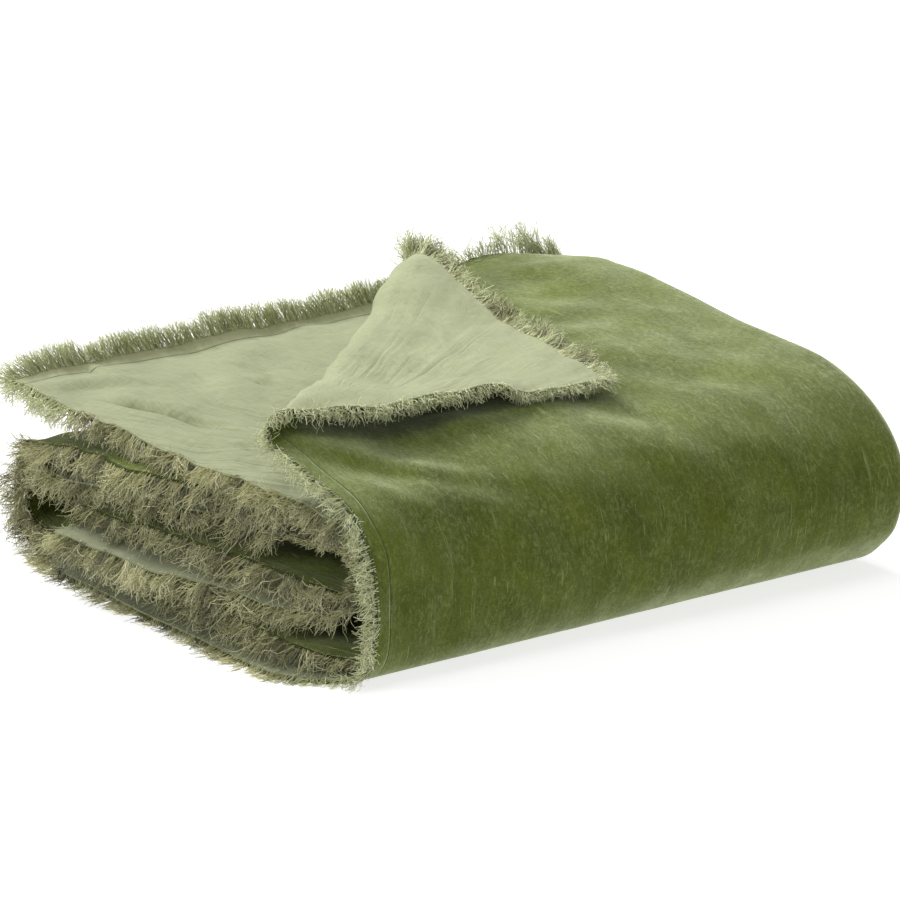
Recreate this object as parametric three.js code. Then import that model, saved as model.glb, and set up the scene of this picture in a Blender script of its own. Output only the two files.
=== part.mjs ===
// A velvet eiderdown with a cotton back and a thread fringe on all four sides. It is folded in half with the
// cotton inside, then folded over in four passes, and its near top corner is turned back to show the cotton.
// Millimetres, +Z up. X runs along the big front fold, from the fringed ends to the smooth fold.
import * as THREE from "three";

// Cloth
const velvetThick = 3;
const cottonHemThick = 1.5;
const cottonThick = 4;
const hemFade = 40;
const layerGap = 0.3;

// The cloth laid flat
const outerWidth = 500;
const turnWidth = 30;
const innerWidth = 500;
const sheetWidth = outerWidth + turnWidth + innerWidth;

// Spacing of the rows and columns that the surfaces are built on
const rowTurn = 0.3;
const rowStep = 52;
const closeRows = { from: 240, to: 460, step: 26 };
const leastLastRow = 17;
const columnStep = 84;
const closeColumns = 2;
const turnSteps = 5;
const turnMiddleStep = 3;
const snap = 2;
const tolerance = 0.01;

// The section of the stack, a row for each fold or change of edge, from the free top end to the hidden end.
// y and z place the outer layer, bend is the reach of the fold's curve, gap lies between the two layers,
// outer and inner are where the fringed edges of the two layers stop, and far is the smooth fold opposite.
const folds = [
  { y: 482, z: 146, bend: 0, gap: 18, outer: 0, inner: 0, far: 514 },
  { y: 390, z: 150, bend: 80, gap: 20, outer: 0, inner: 0, far: 516 },
  { y: 220, z: 151, bend: 60, gap: 22, outer: 0, inner: 0, far: 518 },
  { y: -2, z: 150, bend: 96, gap: 21, outer: 2, inner: 8, far: 524 },
  { y: -6, z: 3, bend: 36, gap: 13, outer: -6, inner: 2, far: 512 },
  { y: 78, z: 3, bend: 0, gap: 19, outer: -46, inner: -26, far: 498 },
  { y: 225, z: 3, bend: 0, gap: 21, outer: -38, inner: -20, far: 490 },
  { y: 360, z: 3, bend: 0, gap: 25, outer: -28, inner: -14, far: 488 },
  { y: 480, z: 3, bend: 39, gap: 13, outer: 0, inner: 2, far: 492 },
  { y: 484, z: 81, bend: 39, gap: 12, outer: 4, inner: 8, far: 494 },
  { y: 395, z: 102, bend: 60, gap: 27, outer: -10, inner: -6, far: 496 },
  { y: 300, z: 112, bend: 40, gap: 21, outer: -20, inner: -12, far: 498 },
  { y: 170, z: 113, bend: 0, gap: 20, outer: 0, inner: 4, far: 498 },
  { y: 32, z: 112, bend: 33, gap: 12, outer: 10, inner: 14, far: 496 },
  { y: 30, z: 46, bend: 32, gap: 12, outer: 8, inner: 12, far: 496 },
  { y: 140, z: 46, bend: 0, gap: 24, outer: -24, inner: -8, far: 494 },
  { y: 240, z: 46, bend: 0, gap: 20, outer: -42, inner: -14, far: 494 },
  { y: 367, z: 44, bend: 0, gap: 15, outer: -44, inner: -18, far: 492 },
];
const pathStep = 2;
const softening = 9;

// The corner turned back, about a line from the near side edge to the free top end. The flap settles from the
// fold's height to its own gap from the cloth below, and its padding takes up some of its length.
const turnBack = {
  from: { x: 0, y: 133 },
  to: { x: 418, y: 482 },
  nearRadius: 8,
  farRadius: 9.5,
  pastEnds: 0.1,
  restGap: 8.5,
  settle: 90,
  takeUp: 0.85,
  slices: 6,
  reach: 460,
};

// The pull on the corner raises the cloth near the start of its fold, and the flap's own hem stands up a little
const pull = { by: 25, at: 45, along: 90, underAcross: 120, flapAcross: 200 };
const hemLift = { by: 12, at: 150, along: 75, across: 60, start: 40 };

// Broad swells of the stack: toward the far end the front fold bulges, and the top rises and rounds off
const frontBulge = { by: 26, atHeight: 78, spread: 62, depth: 150, footHeight: 40 };
const farTop = { rise: 8, frontDrop: 7, frontDepth: 230, endDrop: 14, endDepth: 90 };
const farBack = { rise: 12, fromX: 420, overX: 60, fromY: 250, overY: 120 };
const stillBelow = 20;
const stillFade = 130;

// The top pass is drawn in at its far back corner, so its free end slants there
const farCorner = { by: 54, fromX: 400, overX: 118, fromY: 250, overY: 232, fromZ: 113, overZ: 11 };

const sag = { by: 2.4, lengthX: 310, lengthY: 190, phase: 0.6 };

// Fringe
const fringe = { pitch: 24, strip: 3, low: 0.2, high: 2.8, length: 17, sway: 3.5 };
const variation = { swayTurn: 2.4, lengthTurn: 1.7, shortest: 0.8, longest: 1.04 };
const facesFloor = -0.9;
const droop = { side: 0.35, flap: 0.1, end: -0.55, hidden: 0.2 };

// How far forward the light lower layer of the top pass still shows
const frontHidden = 40;

// Colours
const velvetGreen = "#667338";
const cottonSage = "#aeb592";
const threadKhaki = "#9b9b76";

const lerp = THREE.MathUtils.lerp;
const clamp = THREE.MathUtils.clamp;
const smooth = (t) => THREE.MathUtils.smoothstep(t, 0, 1);

// The section's path: straight runs joined by soft curves, as points with their distance along the path
function tracePath() {
  const corners = folds.map((fold) => new THREE.Vector2(fold.y, fold.z));
  const points = [corners[0].clone()];
  const marks = [0];
  for (let i = 1; i < folds.length - 1; i++) {
    const reach = folds[i].bend;
    const before = corners[i - 1].clone().sub(corners[i]).setLength(reach).add(corners[i]);
    const after = corners[i + 1].clone().sub(corners[i]).setLength(reach).add(corners[i]);
    const curve = new THREE.QuadraticBezierCurve(before, corners[i], after);
    const steps = Math.max(2, 2 * Math.ceil(reach / pathStep / 2));
    const bend = reach > 0 ? curve.getPoints(steps) : [corners[i].clone()];
    marks.push(points.length + Math.floor(bend.length / 2));
    points.push(...bend);
  }
  points.push(corners.at(-1).clone());
  marks.push(points.length - 1);
  const distance = [0];
  for (let i = 1; i < points.length; i++) {
    distance.push(distance[i - 1] + points[i].distanceTo(points[i - 1]));
  }
  return { points, distance, places: marks.map((mark) => distance[mark]) };
}

const path = tracePath();
const pathLength = path.distance.at(-1);

function pathPoint(s) {
  const { points, distance } = path;
  let i = 1;
  while (i < points.length - 1 && distance[i] < s) i++;
  const t = (s - distance[i - 1]) / (distance[i] - distance[i - 1]);
  return new THREE.Vector2().lerpVectors(points[i - 1], points[i], t);
}

function softPoint(s) {
  const sum = new THREE.Vector2();
  for (const k of [-2, -1, 0, 1, 2]) sum.add(pathPoint(s + k * softening));
  return sum.divideScalar(5);
}

// The stack's section at a distance along its path: place, outward direction, and the row's sizes
function sectionAt(s) {
  const place = softPoint(s);
  const ahead = softPoint(s + pathStep).sub(softPoint(s - pathStep)).normalize();
  let i = 1;
  while (i < folds.length - 1 && path.places[i] < s) i++;
  const t = smooth((s - path.places[i - 1]) / (path.places[i] - path.places[i - 1]));
  const row = {};
  for (const key of ["gap", "outer", "inner", "far"]) row[key] = lerp(folds[i - 1][key], folds[i][key], t);
  return { ...row, y: place.x, z: place.y, outY: ahead.y, outZ: -ahead.x };
}

// The turned-back corner: where a point of the flat top layer goes
function turnedBack(point, s) {
  const start = new THREE.Vector2(turnBack.from.x, turnBack.from.y);
  const along = new THREE.Vector2(turnBack.to.x, turnBack.to.y).sub(start);
  const length = along.length();
  along.divideScalar(length);
  const across = new THREE.Vector2(-along.y, along.x);
  const flat = new THREE.Vector2(point.x, point.y).sub(start);
  const a = flat.dot(along);
  const b = flat.dot(across);
  const share = clamp(a / length, -turnBack.pastEnds, 1 + turnBack.pastEnds);
  const radius = lerp(turnBack.nearRadius, turnBack.farRadius, share);
  const angle = clamp((b + radius) / radius, 0, Math.PI);
  if (angle === 0) return point.clone().setZ(point.z + pulled(a, b, pull.underAcross));
  const beyond = Math.max(0, b + radius - Math.PI * radius);
  const settled = smooth(beyond / turnBack.settle);
  const newB = -radius + radius * Math.sin(angle) - beyond * turnBack.takeUp;
  const moved = start.clone().addScaledVector(along, a).addScaledVector(across, newB);
  const lift = lerp(radius * (1 - Math.cos(angle)), turnBack.restGap, settled);
  const below = softPoint(s + point.y - moved.y).y;
  const raised = pulled(a, newB, pull.flapAcross) + hemRaised(s, point.x) * smooth(beyond / hemLift.start);
  return new THREE.Vector3(moved.x, moved.y, below + lift + raised);
}

const bell = (distance, size) => Math.exp(-((distance / size) ** 2));
const pulled = (a, b, across) => pull.by * bell(a - pull.at, pull.along) * smooth(1 + b / across);
const hemRaised = (s, x) => hemLift.by * bell(s - hemLift.at, hemLift.along) * bell(x, hemLift.across);

// The folded cloth before its broad swells
function foldedPoint(s, w) {
  const row = sectionAt(s);
  const radius = row.gap / 2;
  const turn = clamp((w - outerWidth) / turnWidth, 0, 1) * Math.PI;
  const inset = radius * (1 - Math.cos(turn));
  let x = row.far - radius + radius * Math.sin(turn);
  if (w < outerWidth) x = lerp(row.outer, x, w / outerWidth);
  if (w > outerWidth + turnWidth) x = lerp(x, row.inner, (w - outerWidth - turnWidth) / innerWidth);
  const point = new THREE.Vector3(x, row.y - row.outY * inset, row.z - row.outZ * inset);
  return s < turnBack.reach && w < outerWidth ? turnedBack(point, s) : point;
}

const within = (point, size, axis) => {
  return smooth((point[axis.toLowerCase()] - size["from" + axis]) / size["over" + axis]);
};

// The swells move whole regions of the stack together, and leave its flat underside alone
function swell(point) {
  const farShare = smooth(point.x / folds[0].far);
  const height = (point.z - frontBulge.atHeight) / frontBulge.spread;
  const front = 1 - smooth(point.y / frontBulge.depth);
  const raised = smooth((point.z - stillBelow) / stillFade);
  const fullTurn = 2 * Math.PI;
  const waveX = Math.sin(point.x / sag.lengthX * fullTurn + sag.phase);
  const waveY = Math.cos(point.y / sag.lengthY * fullTurn);
  const pushed = frontBulge.by * farShare * front * Math.exp(-height * height);
  const y = point.y - pushed * smooth(point.z / frontBulge.footHeight);
  const { rise, frontDrop, frontDepth, endDrop, endDepth } = farTop;
  const frontShare = 1 - smooth(point.y / frontDepth);
  const endShare = smooth((point.y - folds[0].y + endDepth) / endDepth);
  const lift = rise - frontDrop * frontShare - endDrop * endShare;
  const backLift = farBack.rise * within(point, farBack, "X") * within(point, farBack, "Y");
  const z = point.z + raised * (farShare * lift + backLift + sag.by * waveX * waveY);
  const cornerShare = within(point, farCorner, "X") * within(point, farCorner, "Y") * within(point, farCorner, "Z");
  return new THREE.Vector3(point.x, y - farCorner.by * cornerShare, z);
}

const clothPoint = (s, w) => swell(foldedPoint(s, w));

// The directions along the path, across the cloth, and out of its velvet face
function clothFrame(s, w) {
  const step = 1;
  const along = clothPoint(s + step, w).sub(clothPoint(s - step, w)).normalize();
  const across = clothPoint(s, w + step).sub(clothPoint(s, w - step)).normalize();
  const out = along.clone().cross(across).normalize();
  return { place: clothPoint(s, w), along, across, out };
}

// Rows follow the path, closer together in its bends
function rowPlaces() {
  const rows = [0];
  let turned = 0;
  let last = sectionAt(0);
  for (let s = pathStep; s < pathLength - leastLastRow; s += pathStep) {
    const here = sectionAt(s);
    turned += Math.acos(clamp(here.outY * last.outY + here.outZ * last.outZ, -1, 1));
    last = here;
    const step = s > closeRows.from && s < closeRows.to ? closeRows.step : rowStep;
    if (turned > rowTurn || s - rows.at(-1) > step) {
      rows.push(s);
      turned = 0;
    }
  }
  return [...rows, pathLength];
}

function spread(from, to, count) {
  return Array.from({ length: count + 1 }, (_, i) => lerp(from, to, i / count));
}

function columnPlaces() {
  const flat = Math.round(outerWidth / columnStep);
  const outer = spread(0, outerWidth, flat);
  for (let k = closeColumns; k > 0; k--) outer.splice(k, 0, (outer[k - 1] + outer[k]) / 2);
  const turn = spread(outerWidth, outerWidth + turnWidth, turnSteps);
  const inner = spread(outerWidth + turnWidth, sheetWidth, flat);
  return [...outer, ...turn.slice(1), ...inner.slice(1)];
}

// The flat pattern of the cloth as polygons over shared points: a grid, sliced along the turned-back bend
function flatPattern() {
  const rows = rowPlaces();
  const columns = columnPlaces();
  const points = rows.flatMap((s) => columns.map((w) => new THREE.Vector2(s, w)));
  const at = (i, j) => i * columns.length + j;
  let cells = [];
  for (let i = 0; i < rows.length - 1; i++) {
    for (let j = 0; j < columns.length - 1; j++) {
      cells.push([at(i, j), at(i + 1, j), at(i + 1, j + 1), at(i, j + 1)]);
    }
  }
  for (const line of bendLines()) cells = sliced(points, cells, line);
  return { points, cells };
}

// Lines of equal turn, each from the side edge to the end edge of the cloth
function bendLines() {
  const { from, to, nearRadius, farRadius, slices } = turnBack;
  const top = folds[0].y;
  const start = new THREE.Vector2(top - from.y, from.x);
  const end = new THREE.Vector2(top - to.y, to.x);
  const along = end.clone().sub(start).normalize();
  const toCorner = new THREE.Vector2(-along.y, along.x);
  if (toCorner.dot(start) > 0) toCorner.negate();
  return spread(-1, Math.PI - 1, slices).map((turn) => ({
    start: start.clone().addScaledVector(toCorner, turn * nearRadius),
    end: end.clone().addScaledVector(toCorner, turn * farRadius),
  }));
}

function sliced(points, cells, { start, end }) {
  const normal = new THREE.Vector2(end.y - start.y, start.x - end.x).normalize();
  const offset = (index) => {
    const value = points[index].clone().sub(start).dot(normal);
    return Math.abs(value) < snap || points[index].y > outerWidth ? 0 : value;
  };
  const made = new Map();
  const crossing = (i, j) => {
    const key = i < j ? `${i} ${j}` : `${j} ${i}`;
    if (!made.has(key)) {
      const t = offset(i) / (offset(i) - offset(j));
      made.set(key, points.push(points[i].clone().lerp(points[j], t)) - 1);
    }
    return made.get(key);
  };
  return cells.flatMap((cell) => {
    const sides = cell.map(offset);
    if (Math.max(...sides) <= 0 || Math.min(...sides) >= 0) return [cell];
    const parts = [[], []];
    cell.forEach((index, k) => {
      const next = cell[(k + 1) % cell.length];
      if (sides[k] >= 0) parts[0].push(index);
      if (sides[k] <= 0) parts[1].push(index);
      if (offset(index) * offset(next) < 0) parts.forEach((part) => part.push(crossing(index, next)));
    });
    return parts.filter((part) => part.length > 2);
  });
}

// A convex polygon as triangles, from the corner that gives the least thin ones
function triangles(points, cell) {
  const corner = (k) => cell[k % cell.length];
  const fan = (k) => cell.slice(2).map((_, m) => [corner(k), corner(k + m + 1), corner(k + m + 2)]);
  const thinnest = (faces) => Math.min(...faces.map(([a, b, c]) => {
    const ab = points[b].clone().sub(points[a]);
    const ac = points[c].clone().sub(points[a]);
    return Math.abs(ab.cross(ac)) / (ab.lengthSq() + ac.lengthSq());
  }));
  return cell.map((_, k) => fan(k)).sort((one, other) => thinnest(other) - thinnest(one))[0];
}

// The boundary of a set of triangles, as directed edges
function rim(faces) {
  const edges = new Map();
  for (const face of faces) {
    face.forEach((from, k) => edges.set(`${from} ${face[(k + 1) % 3]}`, [from, face[(k + 1) % 3]]));
  }
  return [...edges.values()].filter(([from, to]) => !edges.has(`${to} ${from}`));
}

function meshOf(name, positions, faces, colour, roughness) {
  const geometry = new THREE.BufferGeometry();
  const numbers = positions.flatMap((point) => point.toArray());
  geometry.setAttribute("position", new THREE.Float32BufferAttribute(numbers, 3));
  geometry.setIndex(faces.flat());
  geometry.computeVertexNormals();
  const material = new THREE.MeshStandardMaterial({ color: colour, roughness, metalness: 0 });
  const mesh = new THREE.Mesh(geometry, material);
  mesh.name = name;
  return mesh;
}

const pattern = flatPattern();
const patternFaces = pattern.cells.flatMap((cell) => triangles(pattern.points, cell));
const patternRim = rim(patternFaces);
const patternFrames = pattern.points.map(({ x: s, y: w }) => clothFrame(s, w));

// A panel between two heights from the seam between velvet and cotton
function panel(name, topHeight, lowHeight, colour, roughness) {
  const raised = (height) => patternFrames.map(({ place, out }, i) => {
    return place.clone().addScaledVector(out, height(pattern.points[i]));
  });
  const top = raised(topHeight);
  const low = raised(lowHeight);
  const n = top.length;
  const faces = patternFaces.flatMap(([a, b, c]) => [[a, b, c], [a + n, c + n, b + n]]);
  const walls = patternRim.flatMap(([a, b]) => [[b, a, a + n], [b, a + n, b + n]]);
  return meshOf(name, [...top, ...low], [...faces, ...walls], colour, roughness);
}

// The cotton side holds the padding, so it thins toward the stitched hems
function cottonDepth({ x: s, y: w }) {
  const inward = Math.min(s, pathLength - s, w, sheetWidth - w);
  return -layerGap / 2 - lerp(cottonHemThick, cottonThick, smooth(inward / hemFade));
}

// One side of the cloth as its built edge, with steps of about one lock between the pattern's own points
function edgeSteps(isOnEdge, order, from, to) {
  const corners = pattern.points
    .map((point, i) => ({ point, frame: patternFrames[i], key: order(point) }))
    .filter(({ point, key }) => isOnEdge(point) && key >= from - tolerance && key <= to + tolerance)
    .sort((one, other) => one.key - other.key);
  const steps = [];
  corners.slice(1).forEach((next, i) => {
    const last = corners[i];
    const length = last.frame.place.distanceTo(next.frame.place);
    const count = Math.max(1, Math.round(length / fringe.pitch));
    for (let k = 0; k < count; k++) steps.push({ last, next, t: k / count });
    if (i === corners.length - 2) steps.push({ last, next, t: 1 });
  });
  return steps;
}

function blend(step, key) {
  return step.last.frame[key].clone().lerp(step.next.frame[key], step.t);
}

// A narrow strip just outside one edge, with a tapering lock of thread on each step
function fringeStrip(name, steps, outwardKey, sign, fall, seed) {
  const positions = [];
  const faces = [];
  const quad = (a, b, c, d) => faces.push([a, b, c], [a, c, d]);
  const face = outwardKey === "across" ? "along" : "across";
  const places = steps.map((step) => {
    const up = blend(step, "out").normalize();
    const run = blend(step, face).normalize();
    const away = blend(step, outwardKey).multiplyScalar(sign);
    away.addScaledVector(run, -away.dot(run)).addScaledVector(up, -away.dot(up)).normalize();
    return { place: blend(step, "place"), up, run, away };
  });
  drawIn(places[0], places[1]);
  drawIn(places.at(-1), places.at(-2));
  places.forEach(({ place, up, away }) => {
    const near = place.clone().addScaledVector(away, layerGap);
    const far = near.clone().addScaledVector(away, fringe.strip);
    for (const root of [near, far]) {
      positions.push(root.clone().addScaledVector(up, fringe.low));
      positions.push(root.clone().addScaledVector(up, fringe.high));
    }
  });
  const last = (places.length - 1) * 4;
  quad(0, 2, 3, 1);
  quad(last, last + 1, last + 3, last + 2);
  for (let i = 0; i < places.length - 1; i++) {
    const a = i * 4;
    const b = a + 4;
    quad(a, a + 1, b + 1, b);
    quad(a + 1, a + 3, b + 3, b + 1);
    quad(a, b, b + 2, a + 2);
    const tip = positions.push(lockTip(places[i], places[i + 1], fall, i + seed)) - 1;
    faces.push([a + 2, tip, a + 3], [a + 3, tip, b + 3], [b + 3, tip, b + 2], [b + 2, tip, a + 2]);
  }
  if (volume(positions, faces) < 0) faces.forEach((corner) => corner.reverse());
  return meshOf(name, positions, faces, threadKhaki, 0.95);
}

// A strip stops just short of the next one
function drawIn(end, neighbour) {
  end.place.add(neighbour.place.clone().sub(end.place).setLength(layerGap));
}

// Locks on the surface lie level on it, and the others droop
function lockTip(one, other, fall, seed) {
  const sway = Math.sin(seed * variation.swayTurn) * fringe.sway;
  const share = (1 + Math.sin(seed * variation.lengthTurn)) / 2;
  const length = fringe.length * lerp(variation.shortest, variation.longest, share);
  const middle = (key) => one[key].clone().add(other[key]).multiplyScalar(0.5);
  const root = middle("place").addScaledVector(middle("away"), layerGap + fringe.strip);
  const tip = root.clone().addScaledVector(middle("away"), length).addScaledVector(middle("run"), sway);
  const onSurface = root.z < 2 * velvetThick && middle("up").z < facesFloor;
  tip.z = onSurface ? root.z - fringe.high : tip.z + fringe.high / 2 - fall * length;
  return tip;
}

function volume(positions, faces) {
  const share = ([a, b, c]) => positions[a].dot(positions[b].clone().cross(positions[c]));
  return faces.reduce((sum, face) => sum + share(face), 0);
}

// Where one fringe stops and the next starts
const rows = rowPlaces();
const nearestRow = (s) => rows.reduce((best, row) => (Math.abs(row - s) < Math.abs(best - s) ? row : best));
const flapSplit = nearestRow(folds[0].y - turnBack.from.y - Math.PI * turnBack.nearRadius);
const frontSplit = nearestRow(folds[0].y - frontHidden);
const flapCorner = columnPlaces().find((w) => w > turnBack.to.x + turnBack.nearRadius);
const turnMiddle = outerWidth + turnWidth * turnMiddleStep / turnSteps;

const sideSteps = (w, from, to) => edgeSteps((point) => point.y === w, (point) => point.x, from, to);
const endSteps = (s, from, to) => edgeSteps((point) => point.x === s, (point) => point.y, from, to);
const sideFringe = (name, steps, sign, fall, seed) => fringeStrip(name, steps, "across", sign, fall, seed);
const endFringe = (name, steps, sign, fall, seed) => fringeStrip(name, steps, "along", sign, fall, seed);

const eiderdown = new THREE.Group();
eiderdown.add(
  panel("velvet_face", () => velvetThick, () => layerGap / 2, velvetGreen, 0.9),
  panel("cotton_back", () => -layerGap / 2, cottonDepth, cottonSage, 0.95),
  sideFringe("fringe_flap_side", sideSteps(0, 0, flapSplit), -1, droop.side, 0),
  sideFringe("fringe_outer_side", sideSteps(0, flapSplit, pathLength), -1, droop.side, 5),
  sideFringe("fringe_light_side", sideSteps(sheetWidth, 0, frontSplit), 1, droop.side, 2),
  sideFringe("fringe_inner_side", sideSteps(sheetWidth, frontSplit, pathLength), 1, droop.side, 7),
  endFringe("fringe_flap_end", endSteps(0, 0, flapCorner), -1, droop.flap, 3),
  endFringe("fringe_back_end", endSteps(0, flapCorner, turnMiddle), -1, droop.end, 8),
  endFringe("fringe_light_end", endSteps(0, turnMiddle, sheetWidth), -1, droop.end, 1),
  endFringe("fringe_hidden_end", endSteps(pathLength, 0, sheetWidth), 1, droop.hidden, 6),
);

// The origin is the middle of the underside
const box = new THREE.Box3().setFromObject(eiderdown);
const middle = box.getCenter(new THREE.Vector3());
eiderdown.position.set(-middle.x, -middle.y, -box.min.z);

export default eiderdown;
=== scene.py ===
# Folded velvet eiderdown: a velvet face, a cotton back and a thread fringe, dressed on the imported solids.
# The cloth is worked out flat in millimetres, w across it and s along it, and folded by the solids' rules.
import math

import bmesh
import bpy
import numpy as np
from mathutils import Matrix, Vector


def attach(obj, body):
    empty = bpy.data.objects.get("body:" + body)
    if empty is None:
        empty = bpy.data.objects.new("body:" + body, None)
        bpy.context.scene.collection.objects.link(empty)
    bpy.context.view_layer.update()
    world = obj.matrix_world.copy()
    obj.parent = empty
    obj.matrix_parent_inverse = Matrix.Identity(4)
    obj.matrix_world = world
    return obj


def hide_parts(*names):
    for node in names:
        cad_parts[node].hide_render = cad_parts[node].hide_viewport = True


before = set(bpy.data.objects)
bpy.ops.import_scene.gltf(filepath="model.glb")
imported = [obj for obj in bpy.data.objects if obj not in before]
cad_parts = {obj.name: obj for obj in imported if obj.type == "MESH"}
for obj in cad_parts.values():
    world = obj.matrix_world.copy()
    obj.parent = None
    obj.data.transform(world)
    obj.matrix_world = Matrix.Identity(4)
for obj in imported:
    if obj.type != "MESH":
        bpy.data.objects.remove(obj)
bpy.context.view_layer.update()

photoCamera = {
    "right": (0.7920, -0.6105, 0.0),
    "up": (0.1925, 0.2497, 0.9490),
    "back": (-0.5794, -0.7517, 0.3153),
    "target": (-0.14626, -0.22473, 0.1822),
    "lens": 1400.0,
    "sensor": 36.0,
    "distance": 28.0,
    "clipEnd": 200.0,
}


def placeCamera(settings):
    data = bpy.data.cameras.new("photoCamera")
    data.lens = settings["lens"]
    data.sensor_width = settings["sensor"]
    data.clip_end = settings["clipEnd"]
    camera = bpy.data.objects.new("photoCamera", data)
    bpy.context.collection.objects.link(camera)
    turned = Matrix((settings["right"], settings["up"], settings["back"])).transposed().to_4x4()
    place = Vector(settings["target"]) + settings["distance"] * Vector(settings["back"])
    camera.matrix_world = Matrix.Translation(place) @ turned
    bpy.context.scene.camera = camera


placeCamera(photoCamera)
print("camera placed")

# The cloth laid flat, in millimetres
cloth = {
    "outerWidth": 500.0,
    "turnWidth": 30.0,
    "width": 1030.0,
    "velvetThick": 2.85,
    "cottonHem": 1.5,
    "cottonThick": 4.0,
    "hemFade": 40.0,
    "halfGap": 0.15,
    "pathStep": 2.0,
    "softening": 9.0,
    "softSteps": (-2, -1, 0, 1, 2),
    "spare": 80.0,
    "creaseStep": 3.0,
    "faceStep": 1.5,
    "sharpAngle": 60.0,
    "toMiddle": (-230.729, -236.169, 0.0),
}

# The section of the stack, in millimetres, from the free top end to the hidden end: place of the outer layer,
# reach of the bend, gap to the inner layer, where both layers' side edges stop, and the smooth fold opposite.
# The solids have the same table.
foldTable = np.array([
    # y, z, bend, gap, outer, inner, far
    (482, 146, 0, 18, 0, 0, 514), (390, 150, 80, 20, 0, 0, 516), (220, 151, 60, 22, 0, 0, 518),
    (-2, 150, 96, 21, 2, 8, 524), (-6, 3, 36, 13, -6, 2, 512), (78, 3, 0, 19, -46, -26, 498),
    (225, 3, 0, 21, -38, -20, 490), (360, 3, 0, 25, -28, -14, 488), (480, 3, 39, 13, 0, 2, 492),
    (484, 81, 39, 12, 4, 8, 494), (395, 102, 60, 27, -10, -6, 496), (300, 112, 40, 21, -20, -12, 498),
    (170, 113, 0, 20, 0, 4, 498), (32, 112, 33, 12, 10, 14, 496), (30, 46, 32, 12, 8, 12, 496),
    (140, 46, 0, 24, -24, -8, 494), (240, 46, 0, 20, -42, -14, 494), (367, 44, 0, 15, -44, -18, 492),
], dtype=float)

turnBack = {
    "start": (0.0, 146.0), "end": (405.0, 482.0), "restGap": 7.0, "settle": 90.0, "reach": 460.0,
    # distances along the fold, its radius there, and how far it stands in from the line between its ends
    "bends": [(0, 13.0, 0), (25, 10.0, 12), (50, 8.0, 18), (90, 6.5, 16), (143, 6.0, 11), (330, 6.0, 8),
              (430, 11.0, 5), (526, 17.0, 0)],
    "takeUp": 0.85,
    # the pull on the corner lifts the near end of the fold, the cloth under it and the flap
    "tentHeight": 25.0, "tentAt": 45.0, "tentAlong": 90.0, "underAcross": 120.0, "flapAcross": 200.0,
    # places along the flap's side hem, and how far the hem stands up there
    "hemLift": [(0, 3), (50, 5), (80, 8), (105, 12), (130, 15), (155, 14), (185, 11), (230, 7), (300, 6)],
    "hemFade": 60.0, "hemBeyond": 40.0,
}
# Broad swells of the stack: toward the smooth fold the front bulges, and the top rises and rounds off
swells = {
    "bulge": 26.0, "bulgeHeight": 78.0, "bulgeSpread": 62.0, "bulgeDepth": 150.0, "footHeight": 40.0,
    "rise": 8.0, "frontDrop": 7.0, "frontDepth": 230.0, "endDrop": 14.0, "endDepth": 90.0,
    "backRise": 12.0, "backFrom": (420.0, 250.0), "backOver": (60.0, 120.0),
    # the top pass is drawn in at its far back corner
    "drawIn": 66.0, "cornerFrom": (400.0, 250.0, 113.0), "cornerOver": (118.0, 232.0, 11.0),
    "stillBelow": 20.0, "stillFade": 130.0, "sag": 2.4, "sagX": 310.0, "sagY": 190.0, "sagPhase": 0.6,
}


def smooth(t):
    t = np.clip(t, 0.0, 1.0)
    return t * t * (3.0 - 2.0 * t)


def mix(a, b, t):
    return a + (b - a) * t


def tracePath():
    corners = foldTable[:, :2]
    step = cloth["pathStep"]
    points, marks = [corners[0]], [0]
    for before, corner, after, reach in zip(corners[:-2], corners[1:-1], corners[2:], foldTable[1:-1, 2]):
        if reach > 0:
            first = corner + (before - corner) * reach / np.linalg.norm(before - corner)
            last = corner + (after - corner) * reach / np.linalg.norm(after - corner)
            t = np.linspace(0, 1, max(2, 2 * math.ceil(reach / step / 2)) + 1)[:, None]
            bend = (1 - t) ** 2 * first + 2 * t * (1 - t) * corner + t * t * last
        else:
            bend = [corner]
        marks.append(len(points) + len(bend) // 2)
        points.extend(bend)
    points.append(corners[-1])
    marks.append(len(points) - 1)
    points = np.array(points)
    distance = np.concatenate([[0], np.cumsum(np.linalg.norm(np.diff(points, axis=0), axis=1))])
    return points, distance, distance[marks]


pathPoints, pathDistance, pathPlaces = tracePath()
pathLength = pathDistance[-1]

# Straight on past both ends, so that the cloth's ends bend no differently from the rest
firstWay = (pathPoints[0] - pathPoints[1]) / (pathDistance[1] - pathDistance[0])
lastWay = (pathPoints[-1] - pathPoints[-2]) / (pathDistance[-1] - pathDistance[-2])
longPoints = np.vstack([pathPoints[0] + firstWay * cloth["spare"], pathPoints,
                        pathPoints[-1] + lastWay * cloth["spare"]])
longDistance = np.concatenate([[-cloth["spare"]], pathDistance, [pathLength + cloth["spare"]]])


def softPlace(s):
    sums = [0.0, 0.0]
    for k in cloth["softSteps"]:
        at = s + k * cloth["softening"]
        for axis in (0, 1):
            sums[axis] = sums[axis] + np.interp(at, longDistance, longPoints[:, axis])
    return sums[0] / len(cloth["softSteps"]), sums[1] / len(cloth["softSteps"])


def sectionAt(s):
    y, z = softPlace(s)
    aheadY, aheadZ = softPlace(s + cloth["pathStep"])
    behindY, behindZ = softPlace(s - cloth["pathStep"])
    wayY, wayZ = aheadY - behindY, aheadZ - behindZ
    length = np.hypot(wayY, wayZ)
    row = np.clip(np.searchsorted(pathPlaces, s), 1, len(foldTable) - 1)
    t = smooth((s - pathPlaces[row - 1]) / (pathPlaces[row] - pathPlaces[row - 1]))
    gap, outer, inner, far = (mix(foldTable[row - 1, k], foldTable[row, k], t) for k in (3, 4, 5, 6))
    return y, z, wayZ / length, -wayY / length, gap, outer, inner, far


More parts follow.
